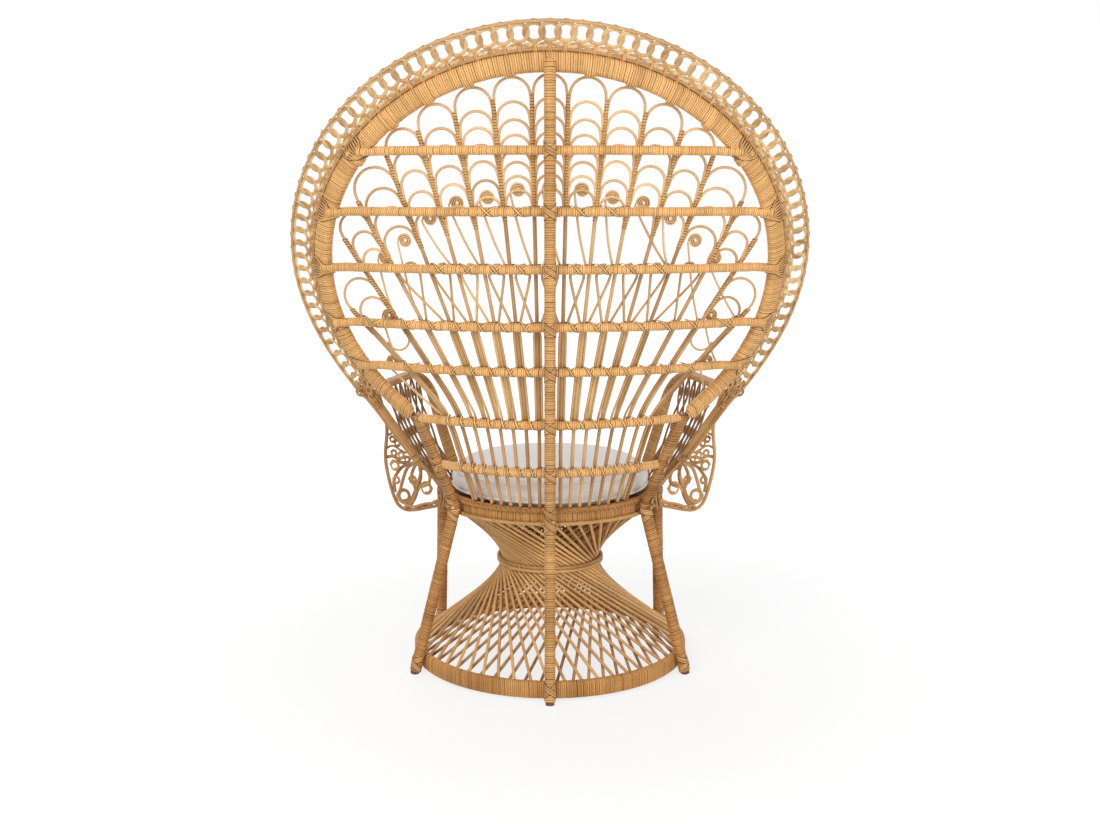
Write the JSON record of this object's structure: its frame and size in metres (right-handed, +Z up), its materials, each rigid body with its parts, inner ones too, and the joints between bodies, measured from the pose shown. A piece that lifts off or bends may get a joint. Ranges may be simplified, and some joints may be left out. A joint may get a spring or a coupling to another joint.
{
  "type": "peacock chair",
  "caption": "Woven rattan peacock chair with a tall oval fan back, a lace border, open arms, a twisted hourglass base and a loose round seat cushion.",
  "frame": {"origin": "on the floor, below the middle of the chair's bounding box", "axes": "+Z up, -Y the way the sitter faces, +X the sitter's left"},
  "size_m": [1.185, 0.812, 1.4996],
  "materials": {
    "rattan_peel": "satin, wound with flat rattan peel",
    "rattan_cane": "satin, bare round rattan cane",
    "woven_deck": "matt, woven cane",
    "cushion_cloth": "matt, plain woven cotton"
  },
  "bodies": {
    "frame": {"base_hoop": "rattan_peel", "waist_hoop": "rattan_cane", "base_canes_1": "rattan_cane", "base_canes_2": "rattan_cane", "base_canes_3": "rattan_cane", "base_canes_4": "rattan_cane", "base_canes_inner_1": "rattan_cane", "base_canes_inner_2": "rattan_cane", "base_canes_inner_3": "rattan_cane", "base_canes_inner_4": "rattan_cane", "seat_hoop": "rattan_peel", "seat_trim_upper": "rattan_cane", "seat_trim_lower": "rattan_cane", "seat_deck": "woven_deck", "back_rim": "rattan_peel", "back_rail_1": "rattan_peel", "back_rail_2": "rattan_peel", "back_rail_3": "rattan_peel", "back_rail_4": "rattan_peel", "back_rail_5": "rattan_peel", "back_rail_6": "rattan_peel", "back_rail_7": "rattan_peel", "spine_post": "rattan_peel", "leg_rear_left": "rattan_peel", "leg_rear_right": "rattan_peel", "leg_front_left": "rattan_peel", "leg_front_right": "rattan_peel", "side_stile_left": "rattan_peel", "side_stile_right": "rattan_peel", "fan_rib_left_1": "rattan_cane", "fan_rib_left_2": "rattan_cane", "fan_rib_left_3": "rattan_cane", "fan_rib_left_4": "rattan_cane", "fan_rib_left_5": "rattan_cane", "fan_rib_left_6": "rattan_cane", "fan_rib_left_7": "rattan_cane", "fan_rib_left_8": "rattan_cane", "fan_rib_right_1": "rattan_cane", "fan_rib_right_2": "rattan_cane", "fan_rib_right_3": "rattan_cane", "fan_rib_right_4": "rattan_cane", "fan_rib_right_5": "rattan_cane", "fan_rib_right_6": "rattan_cane", "fan_rib_right_7": "rattan_cane", "fan_rib_right_8": "rattan_cane", "lace_inner_rod": "rattan_cane", "lace_rings_rear": "rattan_cane", "lace_rings_front": "rattan_cane", "arm_rail_left": "rattan_peel", "arm_rail_right": "rattan_peel", "arm_stem_left": "rattan_cane", "arm_stem_right": "rattan_cane", "arm_skirt_left": "rattan_cane", "arm_skirt_right": "rattan_cane", "arm_lattice_left": "rattan_cane", "arm_lattice_right": "rattan_cane"},
    "cushion": {"seat_cushion": "cushion_cloth"}
  },
  "joints": [
    {"name": "cushion_lift", "type": "slide", "parent": "frame", "child": "cushion", "axis": [0, 0, 1], "range_m": [0, 0.3]}
  ]
}
